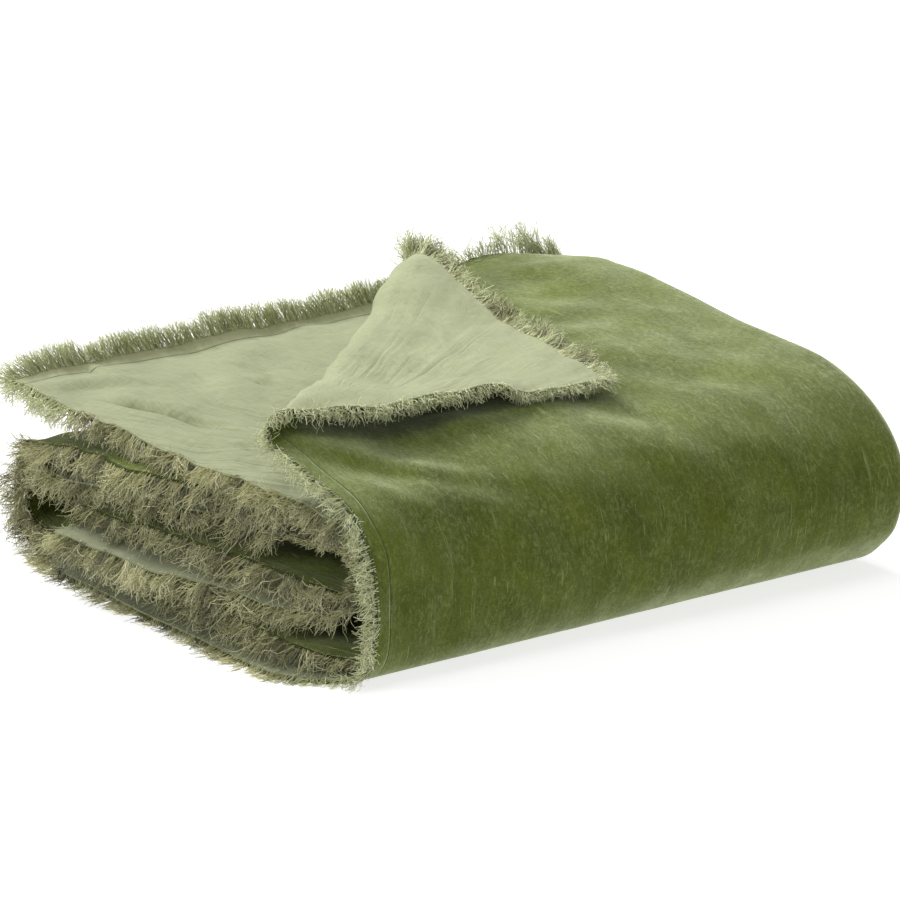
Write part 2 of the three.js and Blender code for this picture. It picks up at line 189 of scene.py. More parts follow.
def foldedPlace(s, w):
    y, z, outY, outZ, gap, outer, inner, far = sectionAt(s)
    radius = gap / 2
    turn = np.clip((w - cloth["outerWidth"]) / cloth["turnWidth"], 0, 1) * math.pi
    inset = radius * (1 - np.cos(turn))
    x = far - radius + radius * np.sin(turn)
    innerStart = cloth["outerWidth"] + cloth["turnWidth"]
    x = np.where(w < cloth["outerWidth"], mix(outer, x, w / cloth["outerWidth"]), x)
    x = np.where(w > innerStart, mix(x, inner, (w - innerStart) / (cloth["width"] - innerStart)), x)
    y, z = y - outY * inset, z - outZ * inset
    return turnedBack(x, y, z, s, (s < turnBack["reach"]) & (w < cloth["outerWidth"]))


def tent(a, b, across):
    fromMiddle = (a - turnBack["tentAt"]) / turnBack["tentAlong"]
    return turnBack["tentHeight"] * np.exp(-fromMiddle ** 2) * smooth(1 + b / across)


foldStart = np.array(turnBack["start"])
foldAlong = np.array(turnBack["end"]) - foldStart
foldAlong = foldAlong / np.linalg.norm(foldAlong)
foldAcross = np.array((-foldAlong[1], foldAlong[0]))


def fromFold(x, y):
    a = (x - foldStart[0]) * foldAlong[0] + (y - foldStart[1]) * foldAlong[1]
    b = (x - foldStart[0]) * foldAcross[0] + (y - foldStart[1]) * foldAcross[1]
    return a, b


def turnedBack(x, y, z, s, free):
    a, b = fromFold(x, y)
    at, radii, shifts = zip(*turnBack["bends"])
    radius, shift = np.interp(a, at, radii), np.interp(a, at, shifts)
    angle = np.clip((b + shift + radius) / radius, 0, math.pi)
    beyond = np.maximum(0, b + shift + radius - math.pi * radius)
    newB = -shift - radius + radius * np.sin(angle) - beyond * turnBack["takeUp"]
    newX = foldStart[0] + a * foldAlong[0] + newB * foldAcross[0]
    newY = foldStart[1] + a * foldAlong[1] + newB * foldAcross[1]
    lift = mix(radius * (1 - np.cos(angle)), turnBack["restGap"], smooth(beyond / turnBack["settle"]))
    hemLift = np.interp(s, *zip(*turnBack["hemLift"])) * np.exp(-(x / turnBack["hemFade"]) ** 2)
    hemLift = hemLift * smooth(beyond / turnBack["hemBeyond"])
    newZ = softPlace(s + y - newY)[1] + lift + tent(a, newB, turnBack["flapAcross"]) + hemLift
    turned = free & (angle > 0)
    z = z + np.where(free & ~turned, tent(a, b, turnBack["underAcross"]), 0.0)
    return np.where(turned, newX, x), np.where(turned, newY, y), np.where(turned, newZ, z)


def within(place, starts, lengths):
    share = 1.0
    for value, start, length in zip(place, starts, lengths):
        share = share * smooth((value - start) / length)
    return share


def swell(x, y, z):
    farShare = smooth(x / foldTable[0, 6])
    height = (z - swells["bulgeHeight"]) / swells["bulgeSpread"]
    front = 1 - smooth(y / swells["bulgeDepth"])
    raised = smooth((z - swells["stillBelow"]) / swells["stillFade"])
    waves = np.sin(x / swells["sagX"] * 2 * math.pi + swells["sagPhase"])
    waves = waves * np.cos(y / swells["sagY"] * 2 * math.pi)
    pushed = swells["bulge"] * farShare * front * np.exp(-height * height) * smooth(z / swells["footHeight"])
    frontShare = 1 - smooth(y / swells["frontDepth"])
    endShare = smooth((y - foldTable[0, 0] + swells["endDepth"]) / swells["endDepth"])
    lift = swells["rise"] - swells["frontDrop"] * frontShare - swells["endDrop"] * endShare
    back = swells["backRise"] * within((x, y), swells["backFrom"], swells["backOver"])
    drawnIn = swells["drawIn"] * within((x, y, z), swells["cornerFrom"], swells["cornerOver"])
    raisedBy = raised * (farShare * lift + back + swells["sag"] * waves)
    return np.stack([x, y - pushed - drawnIn, z + raisedBy], axis=-1)


def seamPlace(s, w):
    return swell(*foldedPlace(s, w))


def unit(vectors):
    return vectors / np.linalg.norm(vectors, axis=-1, keepdims=True)


def frameOf(place, s, w, step):
    along = unit(place(s + step, w) - place(s - step, w))
    across = unit(place(s, w + step) - place(s, w - step))
    return along, across, unit(np.cross(along, across))


# Creases and swellings placed on the flat cloth, in millimetres: each crease runs from one end to the
# other, bowed sideways at its middle, and stands this high and this wide. Toward the velvet side is positive.
creases = [
    # w0, s0, w1, s1, height, width, bow
    # velvet near the turned-back corner
    (14, 352, 150, 452, 2.6, 9, 8), (20, 366, 170, 478, -2.6, 12, 8), (10, 388, 110, 500, 1.6, 10, 6),
    (60, 344, 260, 400, 1.8, 16, 8), (24, 420, 140, 560, -1.4, 14, 6), (160, 360, 400, 452, -1.8, 22, 0),
    (60, 400, 210, 470, 1.0, 9, 4), (120, 420, 300, 500, 1.0, 14, 6), (200, 400, 380, 440, 1.2, 12, 5),
    # light lower sheet: furrows drawn toward the turned-back corner, each with a ridge behind it
    (1014, 70, 957, 236, 4.5, 5, 8), (1006, 64, 949, 230, -4.5, 9, 8),
    (987, 232, 982, 280, 3.2, 4.5, 0), (980, 227, 975, 275, -3.2, 7, 0),
    (1032, 38, 932, 104, 2.8, 9, 13), (1030, 28, 926, 96, -4.2, 10, 13),
    (832, 44, 819, 84, 1.8, 5, 0), (825, 40, 812, 80, -1.6, 7, 0),
    (868, 62, 843, 114, 2.2, 5, 3), (861, 58, 836, 110, -1.8, 7, 3),
    (827, 94, 826, 150, 2.2, 5, 0), (820, 90, 819, 146, -1.8, 7, 0),
    (884, 102, 863, 182, 3.0, 5, 4), (877, 97, 856, 177, -2.8, 7, 4),
    (962, 4, 960, 36, 2.2, 4, 0), (957, 0, 954, 32, -1.6, 6, 0), (899, 68, 907, 100, 2.0, 3.5, 0),
    (940, 120, 925, 230, 2.0, 6, 3), (905, 150, 890, 260, 1.9, 6, 3), (1005, 160, 990, 236, -2.4, 7, 2),
    (1012, 270, 990, 350, 2.4, 6, 0), (1020, 190, 1004, 262, 1.8, 5, 0), (850, 160, 838, 250, 2.0, 6, 2),
    # turned-back corner, seen from its cotton side
    (40, 190, 240, 130, 1.2, 9, 5), (60, 240, 200, 190, -1.4, 9, 0), (150, 60, 330, 90, 1.1, 8, -4),
    (230, 150, 330, 40, 1.2, 7, 0), (110, 130, 240, 30, -1.0, 10, 4), (20, 255, 90, 225, 1.6, 5, 0),
]

creaseEnds = (0.3, 0.45)  # the shares of its length over which a crease rises and dies away

# Broad soft hollows and swellings: centre, half sizes, height
swellings = [
    # w, s, halfW, halfS, height
    (0, 215, 70, 60, -12), (0, 130, 70, 40, -7), (0, 0, 70, 70, -10),
    (1030, 0, 120, 70, -7), (830, 0, 110, 70, 4), (458, 0, 42, 70, 7),
    (200, 362, 75, 38, 10), (60, 366, 60, 28, 4), (480, 250, 105, 85, 5),
    (700, -4, 150, 13, -6), (900, -4, 130, 13, -6), (560, -4, 80, 13, -4),
]


def creaseHeight(s, w):
    height = np.zeros_like(s)
    for w0, s0, w1, s1, high, wide, bow in creases:
        length = math.hypot(w1 - w0, s1 - s0)
        wayW, wayS = (w1 - w0) / length, (s1 - s0) / length
        a = ((w - w0) * wayW + (s - s0) * wayS) / length
        b = (s - s0) * wayW - (w - w0) * wayS
        b = b - 4 * bow * a * (1 - a)
        ends = smooth(a / creaseEnds[0]) * smooth((1 - a) / creaseEnds[1])
        height += high * ends * np.exp(-(b / wide) ** 2)
    for atW, atS, halfW, halfS, high in swellings:
        a, b = (w - atW) / halfW, (s - atS) / halfS
        height += high * np.exp(-a * a - b * b)
    return height


# Slow unevenness of padded cloth, and a light ruffle where the hem's thread draws the edges in
unevenness = {
    "waves": [
        # length along w, length along s, phase, height
        (171, 232, 0.4, 0.9), (96, -143, 1.7, 0.7), (-63, 81, 2.9, 0.45),
        (47, 118, 4.1, 0.35), (218, -57, 5.0, 0.4),
    ],
    "ruffle": 0.7, "ruffleLength": 71.0, "ruffleFade": 24.0,
    "overtone": 0.6, "overtoneTimes": 1.73, "overtonePhase": 1.0,
    # the smooth fold is drawn tight, and the underside lies flat on the floor
    "tight": 0.75, "tightAt": 500.0, "tightOver": 70.0, "flatBelow": 4.0, "flatFade": 25.0,
}


def unevenHeight(s, w):
    height = np.zeros_like(s)
    for lengthW, lengthS, phase, high in unevenness["waves"]:
        height += high * np.sin((w / lengthW + s / lengthS) * 2 * math.pi + phase)
    toEdge = np.minimum(np.minimum(s, pathLength - s), np.minimum(w, cloth["width"] - w))
    run = (s + w) / unevenness["ruffleLength"] * 2 * math.pi
    overtone = np.sin(run * unevenness["overtoneTimes"] + unevenness["overtonePhase"])
    ruffle = np.sin(run) + unevenness["overtone"] * overtone
    height += unevenness["ruffle"] * ruffle * np.exp(-np.maximum(toEdge, 0) / unevenness["ruffleFade"])
    fromFoldLine = (w - unevenness["tightAt"]) / unevenness["tightOver"]
    return height * (1 - unevenness["tight"] * np.exp(-fromFoldLine ** 2))


def creasedPlace(s, w):
    out = frameOf(seamPlace, s, w, cloth["creaseStep"])[2]
    seam = seamPlace(s, w)
    height = unevenHeight(s, w) + creaseHeight(s, w)
    height = height * smooth((seam[..., 2] - unevenness["flatBelow"]) / unevenness["flatFade"])
    return seam + out * height[..., None]


def toMetres(points):
    return (points + np.array(cloth["toMiddle"])) / 1000.0


# Rows and columns of each panel, as their ends and steps in millimetres: close at the hems and where the
# cloth is seen, wide elsewhere. A row also stands wherever the cloth has turned by bendTurn, in radians.
hemSteps = [0, 1.2, 3, 4.5, 8, 12, 13.5, 15, 20, 25]
velvetPanel = {
    "name": "velvetFace", "node": "velvet_face", "slot": "velvet", "bendTurn": 0.16,
    "rows": [(700, 4.6), (2000, 15)], "columns": [(500, 5.2), (530, 3.6), (1005, 14)],
}
cottonPanel = {
    "name": "cottonBack", "node": "cotton_back", "slot": "cotton", "bendTurn": 0.18,
    "rows": [(440, 4.1), (2000, 19)], "columns": [(430, 7.2), (500, 15), (530, 3.9), (820, 5.4), (1005, 2.8)],
}


def rowPlaces(panel):
    s = np.arange(0, pathLength, 1.0)
    _, _, outY, outZ, *_ = sectionAt(s)
    turned = np.concatenate([[0], np.arccos(np.clip(outY[1:] * outY[:-1] + outZ[1:] * outZ[:-1], -1, 1))])
    rows, last, turn = [], hemSteps[-1], 0.0
    for place, more in zip(s, turned):
        turn += more
        step = next(step for end, step in panel["rows"] if place < end)
        inside = hemSteps[-1] < place < pathLength - hemSteps[-1]
        if inside and (place - last >= step or turn > panel["bendTurn"]):
            rows.append(place)
            last, turn = place, 0.0
    hem = np.array(hemSteps, dtype=float)
    return np.concatenate([hem, rows, pathLength - hem[::-1]])


def columnPlaces(panel):
    parts, start = [np.array(hemSteps, dtype=float)], hemSteps[-1]
    for end, step in panel["columns"]:
        parts.append(np.linspace(start, end, math.ceil((end - start) / step) + 1)[1:])
        start = end
    parts.append((cloth["width"] - parts[0][::-1])[1:])
    return np.concatenate(parts)


def makePanel(panel, lowHeight, highHeight):
    rows, columns = rowPlaces(panel), columnPlaces(panel)
    s, w = (part.ravel() for part in np.meshgrid(rows, columns, indexing="ij"))
    seam = creasedPlace(s, w)
    out = frameOf(creasedPlace, s, w, cloth["faceStep"])[2]
    low = toMetres(seam + out * lowHeight(s, w)[:, None])
    high = toMetres(seam + out * highHeight(s, w)[:, None])
    bm = bmesh.new()
    spot = bm.verts.layers.int.new("spot")
    bmesh.ops.create_grid(bm, x_segments=len(columns) - 1, y_segments=len(rows) - 1, size=0.5)
    for vert in bm.verts:
        column = round((vert.co.x + 0.5) * (len(columns) - 1))
        row = round((vert.co.y + 0.5) * (len(rows) - 1))
        vert[spot] = row * len(columns) + column
        vert.co = low[vert[spot]]
    made = bmesh.ops.extrude_face_region(bm, geom=bm.faces[:], use_keep_orig=True)
    for part in made["geom"]:
        if isinstance(part, bmesh.types.BMVert):
            part.co = high[part[spot]]
    bmesh.ops.recalc_face_normals(bm, faces=bm.faces[:])
    if bm.calc_volume(signed=True) < 0:
        bmesh.ops.reverse_faces(bm, faces=bm.faces[:])
    # the extrusion makes its walls in no fixed order, so the faces are sorted by place
    for order, face in enumerate(sorted(bm.faces, key=lambda face: tuple(face.calc_center_median()))):
        face.index = order
    bm.faces.sort()
    for edge in bm.edges:
        edge.smooth = edge.calc_face_angle(0.0) < math.radians(cloth["sharpAngle"])
    mesh = bpy.data.meshes.new(panel["name"])
    bm.to_mesh(mesh)
    bm.free()
    mesh.shade_smooth()

    # the flat cloth's own map, in metres: across it and along it
    spots = np.zeros(len(mesh.vertices), dtype=np.int32)
    mesh.attributes["spot"].data.foreach_get("value", spots)
    corners = np.zeros(len(mesh.loops), dtype=np.int32)
    mesh.loops.foreach_get("vertex_index", corners)
    flat = np.stack([w, s], axis=-1)[spots[corners]] / 1000.0
    mesh.uv_layers.new(name="flatCloth").data.foreach_set("uv", flat.ravel().astype(np.float32))
    mesh.attributes.remove(mesh.attributes["spot"])
    piece = bpy.data.objects.new(panel["name"], mesh)
    bpy.context.collection.objects.link(piece)
    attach(piece, "root")
    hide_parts(panel["node"])
    print(panel["name"], "made:", len(rows), "rows,", len(columns), "columns")
    return piece


def halfGap(s, w):
    return np.full_like(s, cloth["halfGap"])


def cottonDepth(s, w):
    toHem = np.minimum(np.minimum(s, pathLength - s), np.minimum(w, cloth["width"] - w))
    return halfGap(s, w) + mix(cloth["cottonHem"], cloth["cottonThick"], smooth(toHem / cloth["hemFade"]))


velvetFace = makePanel(velvetPanel, halfGap, lambda s, w: halfGap(s, w) + cloth["velvetThick"])
cottonBack = makePanel(cottonPanel, lambda s, w: -cottonDepth(s, w), lambda s, w: -halfGap(s, w))


def colour(hexText):
    parts = [int(hexText[k:k + 2], 16) / 255 for k in (1, 3, 5)]
    return [p / 12.92 if p <= 0.04045 else ((p + 0.055) / 1.055) ** 2.4 for p in parts] + [1.0]


def addNode(tree, kind, settings=None, links=None):
    node = tree.nodes.new(kind)
    for key, value in (settings or {}).items():
        if isinstance(key, str) and hasattr(node, key):
            setattr(node, key, value)
        else:
            node.inputs[key].default_value = value
    for key, source in (links or {}).items():
        tree.links.new(source, node.inputs[key])
    return node


def ramp(tree, source, stops):
    node = addNode(tree, "ShaderNodeValToRGB", links={"Fac": source})
    elements = node.color_ramp.elements
    for element, (place, value) in zip(elements, stops):
        element.position = place
        element.color = colour(value) if isinstance(value, str) else (value, value, value, 1)
    return node.outputs["Color"]


def math2(tree, operation, a, b=0.0):
    node = addNode(tree, "ShaderNodeMath", {"operation": operation})
    for socket, value in zip(node.inputs, (a, b)):
        if isinstance(value, (int, float)):
            socket.default_value = value
        else:
            tree.links.new(value, socket)
    return node.outputs[0]


def mapRange(tree, source, ends, to=(0.0, 1.0)):
    settings = {"From Min": ends[0], "From Max": ends[1], "To Min": to[0], "To Max": to[1]}
    return addNode(tree, "ShaderNodeMapRange", settings, {0: source}).outputs[0]


def blend(tree, share, base, over):
    node = addNode(tree, "ShaderNodeMix", {"data_type": "RGBA"}, {0: share})
    for socket, value in ((node.inputs[6], base), (node.inputs[7], over)):
        if isinstance(value, str):
            socket.default_value = colour(value)
        else:
            tree.links.new(value, socket)
    return node.outputs[2]


def shade(tree, tone, by):
    return addNode(tree, "ShaderNodeVectorMath", {"operation": "SCALE"}, {0: tone, "Scale": by}).outputs[0]


def noise(tree, place, size, detail, rough=0.5, distortion=0.0):
    # size is the pattern's own size across and along the cloth
    scaled = addNode(tree, "ShaderNodeMapping", {"Scale": (1 / size[0], 1 / size[1], 1)}, {"Vector": place})
    settings = {"Scale": 1.0, "Detail": detail, "Roughness": rough, "Distortion": distortion}
    return addNode(tree, "ShaderNodeTexNoise", settings, {"Vector": scaled.outputs[0]}).outputs[0]


def newMaterial(name):
    material = bpy.data.materials.new(name)
    material.use_nodes = True
    tree = material.node_tree
    tree.nodes.clear()
    return material, tree


def addShader(tree, settings, links=None):
    shader = addNode(tree, "ShaderNodeBsdfPrincipled", settings, links)
    addNode(tree, "ShaderNodeOutputMaterial", links={"Surface": shader.outputs[0]})


# Frayed cotton thread, undone from the weave: soft, matt, each thread a little lighter or darker. The threads
# of the outer hems are sage, and those between the layers are khaki, with tufts of dark threads painted as
# shade.
threads = {
    "finishes": [
        # name, darkest and lightest thread
        ("cottonThreadSage", "#a4aa74", "#e8ecc0"),
        ("cottonThreadKhaki", "#96945f", "#e2e0b0"),
        # dark threads: painted shade in the tufts
        ("cottonThreadPaintedShade", "#4c4b2a", "#9a9868"),
    ],
    "rough": 0.95, "sheen": 0.45, "sheenRound": 0.5, "shine": 0.1,
}
sage, khaki, shadedTuft = range(3)


def threadMaterial(name, dark, light, settings):
    material, tree = newMaterial(name)
    geometry = addNode(tree, "ShaderNodeNewGeometry")
    tone = ramp(tree, geometry.outputs["Random Per Island"], [(0.0, dark), (1.0, light)])
    addShader(tree, {
        "Roughness": settings["rough"], "Sheen Weight": settings["sheen"],
        "Sheen Roughness": settings["sheenRound"], "Specular IOR Level": settings["shine"],
    }, {"Base Color": tone})
    return material


threadFinishes = [threadMaterial(*finish, threads) for finish in threads["finishes"]]

# Thread fringe, in millimetres. The threes are how far the threads of a stretch of hem drift together, how
# far each lock of threads differs, and how far each thread does.
fringe = {
    "seed": 41, "length": 18.0, "unevenLimits": (0.6, 1.4), "radius": 0.31, "sides": 3, "points": 6,
    "thick": (0.75, 1.25), "taper": (1.0, 0.6), "drift": 12.0, "lean": (0.20, 0.08, 0.14),
    "fan": (0.14, 0.08, 0.12), "uneven": (0.08, 0.05, 0.09), "droopUneven": (0.4, 0.2, 0.2),
    "lock": 2.6, "lockSpread": 0.2, "curl": (0.08, 0.15), "loose": (0.5, 1.5), "gather": 0.05,
    # threads spread out round the ends of an edge
    "endMargin": 0.4, "cornerLean": 1.1, "cornerReach": 9.0,
    # some threads start on the hem's faces, not at its edge
    "depths": (-3.2, 4.8), "hemFaces": (-1.95, 3.3), "onFace": (-1.6, 2.9), "rootOnFace": 2.4,
    "rootInEdge": 0.6,
    # heights that the threads stay over the floor, and over the cloth under the flap
    "overFloor": 0.5, "overCloth": 1.2, "underFlap": 480.0,
    # tufts of dark threads painted as shade, and how far sage and khaki threads mingle where one gives way to
    # the other
    "shadedTuft": 0.45, "shadedTuftDrift": 6.0, "shadedTuftSpread": 0.3, "mingle": 24.0, "mingleTurns": 61.0,
}
# Each run names its edge, its stretch of that edge, its threads per millimetre, and how unruly and limp they
# are. At places along the edge, "long" is the threads' length as a share, and "stand" how far they point up
# or hang. The threads are khaki, and have tufts of dark threads painted as shade, in the stretches that the
# run names.
fringeRuns = [
    {"name": "fringeFlapSide", "node": "fringe_flap_side", "edge": "outerSide", "span": (0, 328),
     "perMm": 5.2, "frizz": 2.2, "droop": 0.08,
     "long": [(0, 0.65), (60, 0.5), (240, 0.6), (300, 0.75)],
     "stand": [(0, -0.1), (120, -0.3)]},
    {"name": "fringeOuterSide", "node": "fringe_outer_side", "edge": "outerSide", "span": (328, 1976),
     "perMm": 2.9, "frizz": 1.6, "droop": 0.05, "khaki": (640, 2010),
     "long": [(328, 0.75), (400, 0.95), (620, 0.95), (700, 1.15), (1500, 1.2), (1530, 0.6), (1630, 0.6),
              (1690, 1.2)],
     "stand": [(328, 0.1), (480, -0.1), (600, -0.1), (680, -0.9), (960, -0.8), (1060, -0.1), (1150, 0.0),
               (1230, -0.6), (1300, -1.6), (1490, -1.2), (1530, 0.6), (1620, 0.3), (1700, -0.8)]},
    {"name": "fringeLightSide", "node": "fringe_light_side", "edge": "innerSide", "span": (0, 440),
     "perMm": 4.6, "frizz": 1.6, "droop": 0.1, "khaki": (90, 480),
     "long": [(0, 1.05)],
     "stand": [(0, -0.2), (60, -0.5)]},
    {"name": "fringeInnerSide", "node": "fringe_inner_side", "edge": "innerSide", "span": (440, 1976),
     "perMm": 2.7, "frizz": 2.0, "droop": 0.08, "khaki": (400, 2010),
     "long": [(440, 0.6), (480, 0.4), (600, 0.4), (650, 1.5), (780, 1.5), (880, 1.2), (1480, 1.25),
              (1520, 0.4), (1645, 0.4), (1690, 1.6), (1810, 1.6), (1870, 1.15)],
     "stand": [(440, -0.4), (600, -0.3), (680, -0.9), (960, -0.7), (1060, -0.1), (1150, -0.1), (1230, -0.7),
               (1300, -1.2), (1480, -1.2), (1520, 0.8), (1620, 0.4), (1700, -0.8)]},
    {"name": "fringeFlapEnd", "node": "fringe_flap_end", "edge": "topEnd", "span": (0, 500),
     "perMm": 5.2, "frizz": 1.7, "droop": 0.03, "tufts": (20, 365), "shadedTuftSpread": 0.9,
     "long": [(0, 0.85), (60, 1.0), (340, 0.95), (375, 1.4), (428, 1.4), (443, 0.7), (456, 1.1), (472, 1.5),
              (486, 1.45), (500, 1.1)],
     "stand": [(0, 0.1), (320, 0.4), (365, 1.6), (430, 2.2), (441, 0.8), (455, 1.6), (500, 2.2)]},
    {"name": "fringeBackEnd", "node": "fringe_back_end", "edge": "topEnd", "span": (500, 518),
     "perMm": 8.0, "frizz": 1.0, "droop": 0.0,
     "long": [(500, 1.1), (518, 0.6)],
     "stand": [(500, 1.9), (518, 0.8)]},
    {"name": "fringeLightEnd", "node": "fringe_light_end", "edge": "topEnd", "span": (518, 1030),
     "perMm": 8.2, "frizz": 1.0, "droop": 0.0, "lean": 1.0, "thin": 0.8,
     "long": [(518, 1.15)],
     "stand": [(518, 2.4), (960, 2.2), (1000, 1.4), (1030, 0.3)]},
    {"name": "fringeHiddenEnd", "node": "fringe_hidden_end", "edge": "hiddenEnd", "span": (0, 1030),
     "perMm": 0.5, "frizz": 1.0, "droop": 0.2, "khaki": (-30, 1060),
     "long": [(0, 1.0)],
     "stand": [(0, 0.0)]},
]
fringeEdges = {
    "outerSide": {"w": 0.0, "sign": -1.0}, "innerSide": {"w": cloth["width"], "sign": 1.0},
    "topEnd": {"s": 0.0, "sign": -1.0}, "hiddenEnd": {"s": pathLength, "sign": 1.0},
}
nowhere = (0.0, 0.0)
upward = np.array((0, 0, 1.0))


def topHeight(x, y):
    s = np.arange(0.0, fringe["underFlap"], cloth["pathStep"])
    pathY, pathZ = softPlace(s)
    a, b = fromFold(x, y)
    z = np.interp(-y, -pathY, pathZ) + np.where(b < 0, tent(a, b, turnBack["underAcross"]), 0.0)
    return swell(x, y, z)[..., 2] + cloth["velvetThick"] + fringe["overCloth"]


def slowNoise(places, length, random):
    knots = random.normal(size=int(places.max() / length) + 3)
    k = np.floor(places / length).astype(int)
    return mix(knots[k], knots[k + 1], smooth(places / length - k))


def alongEdge(at, rows):
    return np.interp(at, *zip(*rows))


def threadPaths(run, random):
    start, end = run["span"]
    count = int((end - start) * run["perMm"])
    at = np.sort(random.uniform(start + fringe["endMargin"], end - fringe["endMargin"], count))
    edge = fringeEdges[run["edge"]]
    isSide = "w" in edge
    s, w = (at, np.full(count, edge["w"])) if isSide else (np.full(count, edge["s"]), at)
    root = creasedPlace(s, w)
    along, across, up = frameOf(creasedPlace, s, w, cloth["faceStep"])
    away, side = (across, along) if isSide else (along, across)
    away = edge["sign"] * away
    depth = np.clip(random.uniform(*fringe["depths"], count), *fringe["hemFaces"])[:, None]

    lock = np.floor((at - start) / fringe["lock"] + fringe["lockSpread"] * random.normal(size=count))
    lock = lock.astype(int) + 1
    locks = lock.max() + 2
    middle = start + (lock - 0.5) * fringe["lock"]

    def mixed(shares):
        drift, byLock, own = shares
        value = drift * slowNoise(at, fringe["drift"], random) + byLock * random.normal(size=locks)[lock]
        return value + own * random.normal(size=count)

    lean = run.get("lean", 0.0) + mixed(fringe["lean"]) * run["frizz"]
    rise = mixed(fringe["fan"]) * run["frizz"]
    uneven = np.clip(1 + mixed(fringe["uneven"]) * run["frizz"], *fringe["unevenLimits"])
    length = fringe["length"] * alongEdge(at, run["long"]) * uneven
    droop = run["droop"] * (1 + mixed(fringe["droopUneven"]))
    stand = alongEdge(at, run["stand"])
    lastCorner = pathLength if isSide else cloth["width"]
    for corner, turn in ((0.0, -1.0), (lastCorner, 1.0)):
        nearCorner = np.clip(1 - np.abs(at - corner) / fringe["cornerReach"], 0, 1)
        lean += turn * fringe["cornerLean"] * nearCorner
    lockCurl, ownCurl = fringe["curl"]
    lockCurl = lockCurl * random.normal(size=(fringe["points"], locks, 3))

    way = unit(away + lean[:, None] * side + rise[:, None] * up + stand[:, None] * upward)
    gather = ((middle - at) / length)[:, None] * side
    down = -droop[:, None] * upward
    onFace = (depth > fringe["onFace"][1]) | (depth < fringe["onFace"][0])
    place = root - np.where(onFace, fringe["rootOnFace"], fringe["rootInEdge"]) * away + depth * up
    steps = fringe["points"] - 1
    places = [place]
    for k in range(steps):
        loose = (fringe["loose"][0] + fringe["loose"][1] * k / steps) * run["frizz"]
        wave = loose * (lockCurl[k][lock] + ownCurl * random.normal(size=(count, 3)))
        way = unit(way + down + wave + fringe["gather"] * gather * (k < steps / 2))
        place = place + way * (length / steps)[:, None]
        places.append(place)
    places = np.array(places)
    places[..., 2] = np.maximum(places[..., 2], fringe["overFloor"])
    if "flap" in run["node"]:
        lowest = np.where(at < turnBack["end"][0], topHeight(places[..., 0], places[..., 1]), 0.0)
        places[..., 2] = np.maximum(places[..., 2], lowest)

    khakiSpan = run.get("khaki", nowhere)
    tuftSpan = run.get("tufts", khakiSpan)
    mingled = at + fringe["mingle"] * np.sin(at * fringe["mingleTurns"])
    isKhaki = (mingled >= khakiSpan[0]) & (mingled < khakiSpan[1])
    isTufted = (at >= tuftSpan[0]) & (at < tuftSpan[1])
    spread = run.get("shadedTuftSpread", fringe["shadedTuftSpread"])
    # painted shade: dark threads in the tufts
    isShadedTuft = slowNoise(at, fringe["shadedTuftDrift"], random) + spread * random.normal(size=count) > fringe["shadedTuft"]
    return places.transpose(1, 0, 2), np.where(isTufted & isShadedTuft, shadedTuft, np.where(isKhaki, khaki, sage))


def makeFringe(run, random):
    paths, finishes = threadPaths(run, random)
    paths = toMetres(paths)
    curve = bpy.data.curves.new(run["name"], "CURVE")
    curve.dimensions = "3D"
    curve.bevel_mode = "OBJECT"
    curve.bevel_object = threadRound
    curve.use_fill_caps = True
    for finish in threadFinishes:
        curve.materials.append(finish)
    taper = np.linspace(*fringe["taper"], fringe["points"]).astype(np.float32)
    thick = random.uniform(*fringe["thick"], len(paths)).astype(np.float32) * run.get("thin", 1.0)
    for path, width, finish in zip(paths, thick, finishes):
        spline = curve.splines.new("POLY")
        spline.material_index = int(finish)
        spline.points.add(len(path) - 1)
        spline.points.foreach_set("co", np.concatenate([path, np.ones((len(path), 1))], axis=1).ravel())
        spline.points.foreach_set("radius", taper * width)
        spline.use_smooth = True
    drawn = bpy.data.objects.new(run["name"] + "Drawn", curve)
    bpy.context.collection.objects.link(drawn)
    bpy.context.view_layer.update()
    mesh = bpy.data.meshes.new_from_object(drawn.evaluated_get(bpy.context.evaluated_depsgraph_get()))
    mesh.name = run["name"]
    bpy.data.objects.remove(drawn)
    bpy.data.curves.remove(curve)
    piece = bpy.data.objects.new(run["name"], mesh)
    bpy.context.collection.objects.link(piece)
    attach(piece, "root")
    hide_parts(run["node"])
    return piece


def makeThreadRound():
    curve = bpy.data.curves.new("threadRound", "CURVE")
    curve.dimensions = "2D"
    spline = curve.splines.new("POLY")
    spline.points.add(fringe["sides"] - 1)
    radius = fringe["radius"] / 1000
    for k, point in enumerate(spline.points):
        turn = 2 * math.pi * k / fringe["sides"]
        point.co = (radius * math.cos(turn), radius * math.sin(turn), 0, 1)
    spline.use_cyclic_u = True
    made = bpy.data.objects.new("threadRound", curve)
    bpy.context.collection.objects.link(made)
    return made


threadRound = makeThreadRound()
random = np.random.default_rng(fringe["seed"])
fringes = [makeFringe(run, random) for run in fringeRuns]
bpy.data.objects.remove(threadRound)
print("fringe made:", sum(len(piece.data.polygons) for piece in fringes), "faces")

sheetSize = (cloth["width"] / 1000, pathLength / 1000)


# The patterns of both cloths lie on the flat cloth's own map, in metres: w across it and s along it
def flatMap(tree):
    uv = addNode(tree, "ShaderNodeUVMap", {"uv_map": "flatCloth"}).outputs[0]
    split = addNode(tree, "ShaderNodeSeparateXYZ", links={0: uv})
    return uv, split.outputs["X"], split.outputs["Y"]


def stitchLine(tree, hem, place, edge):
    # 1 on a line of stitching at this distance from the hem, and 0 beside it
    off = math2(tree, "ABSOLUTE", math2(tree, "SUBTRACT", hem, place))
    return mapRange(tree, off, edge, (1.0, 0.0))


